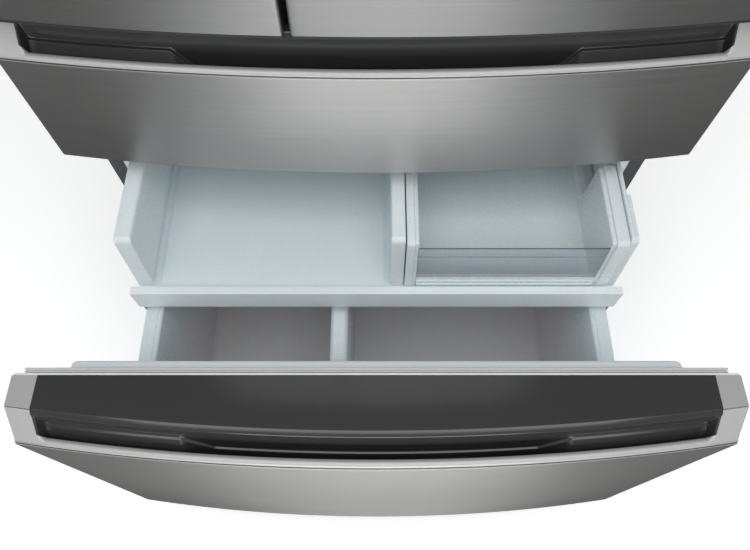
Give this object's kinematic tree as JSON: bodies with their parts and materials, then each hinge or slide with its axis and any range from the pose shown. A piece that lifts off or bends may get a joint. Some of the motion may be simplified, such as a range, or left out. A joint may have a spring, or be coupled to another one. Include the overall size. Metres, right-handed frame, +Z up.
{
  "type": "french door refrigerator",
  "caption": "Free-standing stainless french door refrigerator with bowed fronts, a shallow middle drawer, a deep freezer drawer, a sliding upper tray and a clear ice bin.",
  "frame": {"origin": "on the floor, under the middle of the object's box with the freezer drawer standing open", "axes": "+Z up, the fronts face -Y, +X to the right as seen from the front"},
  "size_m": [0.908, 1.234, 1.78],
  "materials": {
    "case_paint": "satin",
    "liner": "satin",
    "zinc": "satin",
    "dark_plastic": "matte",
    "black_paint": "satin",
    "fin_metal": "satin",
    "fan_plastic": "matte",
    "black_gloss": "gloss",
    "shelf_glass": "gloss",
    "clear_plastic": "gloss",
    "gasket": "matte",
    "bin_plastic": "satin",
    "stainless": "satin",
    "bright_trim": "satin",
    "dark_top": "satin"
  },
  "bodies": {
    "cabinet": {"cabinet_shell": "case_paint", "back_panel": "case_paint", "front_frame": "case_paint", "fresh_liner": "liner", "middle_liner": "liner", "freezer_liner": "liner", "base_pan": "zinc", "toe_grille": "dark_plastic", "machine_cover": "case_paint", "leveling_feet": "dark_plastic", "power_inlet": "dark_plastic", "compressor": "black_paint", "condenser_coil": "black_paint", "evaporator": "fin_metal", "evaporator_cover": "liner", "fan_motor": "black_paint", "air_duct": "liner", "shelf_arms": "zinc", "control_panel": "black_gloss", "hinge_brackets": "zinc", "hinge_covers": "dark_plastic", "fixed_slides": "zinc", "glass_shelves": "shelf_glass", "crisper_cover": "shelf_glass", "ice_maker": "fan_plastic"},
    "evaporator_fan": {"fan_blade": "fan_plastic"},
    "crisper_left": {"crisper_left": "clear_plastic"},
    "crisper_right": {"crisper_right": "clear_plastic"},
    "roller_left": {"roller_left": "dark_plastic"},
    "roller_right": {"roller_right": "dark_plastic"},
    "left_door": {"left_door_skin": "stainless", "left_door_liner": "liner", "left_door_gasket": "gasket", "left_door_caps": "dark_plastic", "left_door_bins": "clear_plastic"},
    "right_door": {"right_door_skin": "stainless", "right_door_liner": "liner", "right_door_gasket": "gasket", "right_door_caps": "dark_plastic", "right_door_bins": "clear_plastic"},
    "flip_mullion": {"flip_mullion": "gasket"},
    "middle_drawer": {"middle_skin": "stainless", "middle_lip": "bright_trim", "middle_top": "dark_top", "middle_ends": "bright_trim", "middle_back": "liner", "middle_gasket": "gasket", "middle_bin": "bin_plastic", "middle_slides": "zinc"},
    "freezer_drawer": {"freezer_skin": "stainless", "freezer_lip": "bright_trim", "freezer_top": "dark_top", "freezer_ends": "bright_trim", "freezer_back": "liner", "freezer_gasket": "gasket", "freezer_basket": "bin_plastic", "basket_divider": "bin_plastic", "freezer_slides": "zinc"},
    "upper_tray": {"upper_tray": "bin_plastic", "ice_bin": "clear_plastic"}
  },
  "joints": [
    {"name": "left_door_swing", "type": "hinge", "parent": "cabinet", "child": "left_door", "pos_m": [-0.436, -0.13, 1.745], "axis": [0, 0, -1], "range_deg": [0, 120]},
    {"name": "right_door_swing", "type": "hinge", "parent": "cabinet", "child": "right_door", "pos_m": [0.436, -0.13, 1.745], "axis": [0, 0, 1], "range_deg": [0, 120]},
    {"name": "flip_mullion_fold", "type": "hinge", "parent": "left_door", "child": "flip_mullion", "pos_m": [-0.146, -0.0825, 1.688], "axis": [0, 0, 1], "range_deg": [0, 90]},
    {"name": "middle_drawer_slide", "type": "slide", "parent": "cabinet", "child": "middle_drawer", "axis": [0, -1, 0], "range_m": [0, 0.38]},
    {"name": "freezer_drawer_slide", "type": "slide", "parent": "cabinet", "child": "freezer_drawer", "axis": [0, -1, 0], "range_m": [-0.41, 0.04]},
    {"name": "upper_tray_slide", "type": "slide", "parent": "freezer_drawer", "child": "upper_tray", "axis": [0, -1, 0], "range_m": [0, 0.145]},
    {"name": "crisper_left_slide", "type": "slide", "parent": "cabinet", "child": "crisper_left", "axis": [0, -1, 0], "range_m": [0, 0.14]},
    {"name": "crisper_right_slide", "type": "slide", "parent": "cabinet", "child": "crisper_right", "axis": [0, -1, 0], "range_m": [0, 0.14]},
    {"name": "roller_left_spin", "type": "hinge", "parent": "cabinet", "child": "roller_left", "pos_m": [-0.4, 0.555, 0.0235], "axis": [1, 0, 0], "continuous": true},
    {"name": "roller_right_spin", "type": "hinge", "parent": "cabinet", "child": "roller_right", "pos_m": [0.4, 0.555, 0.0235], "axis": [1, 0, 0], "continuous": true},
    {"name": "evaporator_fan_spin", "type": "hinge", "parent": "cabinet", "child": "evaporator_fan", "pos_m": [0, 0.53, 0.51], "axis": [0, 1, 0], "continuous": true}
  ],
  "couplings": [
    {"joint": "flip_mullion_fold", "follows": "left_door_swing", "ratio": 0.75}
  ]
}
